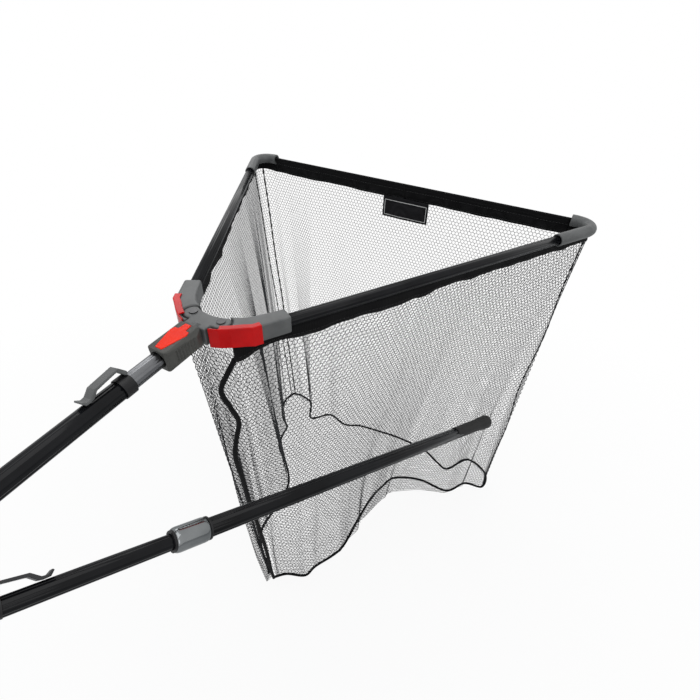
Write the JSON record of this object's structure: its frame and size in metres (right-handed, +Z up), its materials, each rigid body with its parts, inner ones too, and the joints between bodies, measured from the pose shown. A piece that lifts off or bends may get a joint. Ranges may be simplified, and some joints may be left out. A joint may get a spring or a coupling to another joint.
{
  "type": "landing net",
  "caption": "Triangular folding landing net with a deep mesh bag, wishbone yoke with sliding lock, and a telescopic handle that folds at a knuckle.",
  "frame": {"origin": "centre of the hand grip on the front handle tube", "axes": "+X from the grip towards the front bar of the head, +Y to the left arm, +Z up; the head lies level and the bag hangs down"},
  "size_m": [0.9667, 0.6978, 0.675],
  "materials": {
    "black_anodised": "black anodised, satin, fluted",
    "silver_anodised": "silver anodised, satin, fluted",
    "grey_plastic": "grey glass-filled nylon, satin",
    "dark_plastic": "dark grey nylon, satin",
    "black_plastic": "black plastic",
    "white_plastic": "natural acetal",
    "red_plastic": "glossy red",
    "orange_plastic": "orange red, satin",
    "steel": "zinc plated steel",
    "gunmetal": "dark chrome",
    "black_rubber": "black rubber",
    "hem_cloth": "black woven polyester",
    "netting": "black knotless nylon mesh",
    "black_cord": "black braided cord",
    "label_cloth": "black woven label with a thin pale frame line, no lettering"
  },
  "bodies": {
    "front_tube": {"front_tube": "black_anodised", "front_clip_ring": "black_plastic", "knuckle_fork": "dark_plastic", "knuckle_pin": "steel", "knuckle_washers": "white_plastic"},
    "head": {"silver_tube": "silver_anodised", "front_expander": "white_plastic", "yoke_block": "grey_plastic", "pivot_pin_left": "steel", "pivot_pin_right": "steel", "bag_left": "netting", "bag_right": "netting", "bag_front": "netting", "bag_back": "netting", "bag_floor": "netting", "yoke_seam_cord": "black_cord", "floor_cord": "black_cord", "label": "label_cloth", "front_cord": "black_cord", "front_hem_left": "hem_cloth", "front_hem_right": "hem_cloth"},
    "lock_sleeve": {"lock_sleeve": "grey_plastic", "sleeve_inset": "orange_plastic"},
    "arm_left": {"arm_socket_left": "grey_plastic", "socket_cover_left": "red_plastic", "arm_tube_left": "black_anodised", "elbow_left": "grey_plastic", "arm_hem_left": "hem_cloth"},
    "arm_right": {"arm_socket_right": "grey_plastic", "socket_cover_right": "red_plastic", "arm_tube_right": "black_anodised", "elbow_right": "grey_plastic", "arm_hem_right": "hem_cloth"},
    "front_clip": {"front_clip": "grey_plastic"},
    "rear_clip": {"rear_clip": "dark_plastic"},
    "pole": {"knuckle_tongue": "dark_plastic", "pole_inner_tube": "black_anodised", "rear_clip_ring": "black_plastic", "rear_expander": "white_plastic"},
    "pole_outer": {"pole_outer_tube": "black_anodised", "collar_bush": "white_plastic", "butt_cap": "black_rubber"},
    "twist_collar": {"twist_collar": "gunmetal", "collar_ring_front": "black_plastic", "collar_ring_rear": "black_plastic"}
  },
  "joints": [
    {"name": "head_slide", "type": "slide", "parent": "front_tube", "child": "head", "axis": [0.9976, 0, 0.0698], "range_m": [0, 0.15]},
    {"name": "arm_right_fold", "type": "hinge", "parent": "head", "child": "arm_right", "pos_m": [0.26951, -0.02, 0.01395], "axis": [0, 0, 1], "range_deg": [0, 27], "deforming": ["front_hem_right", "front_cord"]},
    {"name": "arm_left_fold", "type": "hinge", "parent": "head", "child": "arm_left", "pos_m": [0.26951, 0.02, 0.01395], "axis": [0, 0, 1], "range_deg": [-27, 0], "deforming": ["front_hem_left"]},
    {"name": "sleeve_slide", "type": "slide", "parent": "head", "child": "lock_sleeve", "axis": [-0.9976, 0, -0.0698], "range_m": [0, 0.025]},
    {"name": "front_clip_flex", "type": "hinge", "parent": "front_tube", "child": "front_clip", "pos_m": [0.16077, 0.00345, 0.02329], "axis": [0.0192, 0.9613, -0.275], "range_deg": [0, 6], "stiffness_Nm_per_rad": 3},
    {"name": "knuckle_fold", "type": "hinge", "parent": "front_tube", "child": "pole", "pos_m": [-0.13068, 0, -0.00914], "axis": [0.0429, 0.788, -0.6142], "range_deg": [0, 148]},
    {"name": "rear_clip_flex", "type": "hinge", "parent": "pole", "child": "rear_clip", "pos_m": [-0.02086, -0.03241, -0.04642], "axis": [0.0582, -0.6622, 0.747], "range_deg": [0, 6], "stiffness_Nm_per_rad": 3},
    {"name": "pole_slide", "type": "slide", "parent": "pole", "child": "pole_outer", "axis": [0.8751, -0.3263, -0.3574], "range_m": [-0.085, 0.08]},
    {"name": "collar_twist", "type": "hinge", "parent": "pole_outer", "child": "twist_collar", "pos_m": [0.11522, -0.09168, -0.10957], "axis": [0.8751, -0.3263, -0.3574], "range_deg": [0, 90]}
  ],
  "couplings": [
    {"joint": "arm_left_fold", "follows": "arm_right_fold", "ratio": -1}
  ]
}
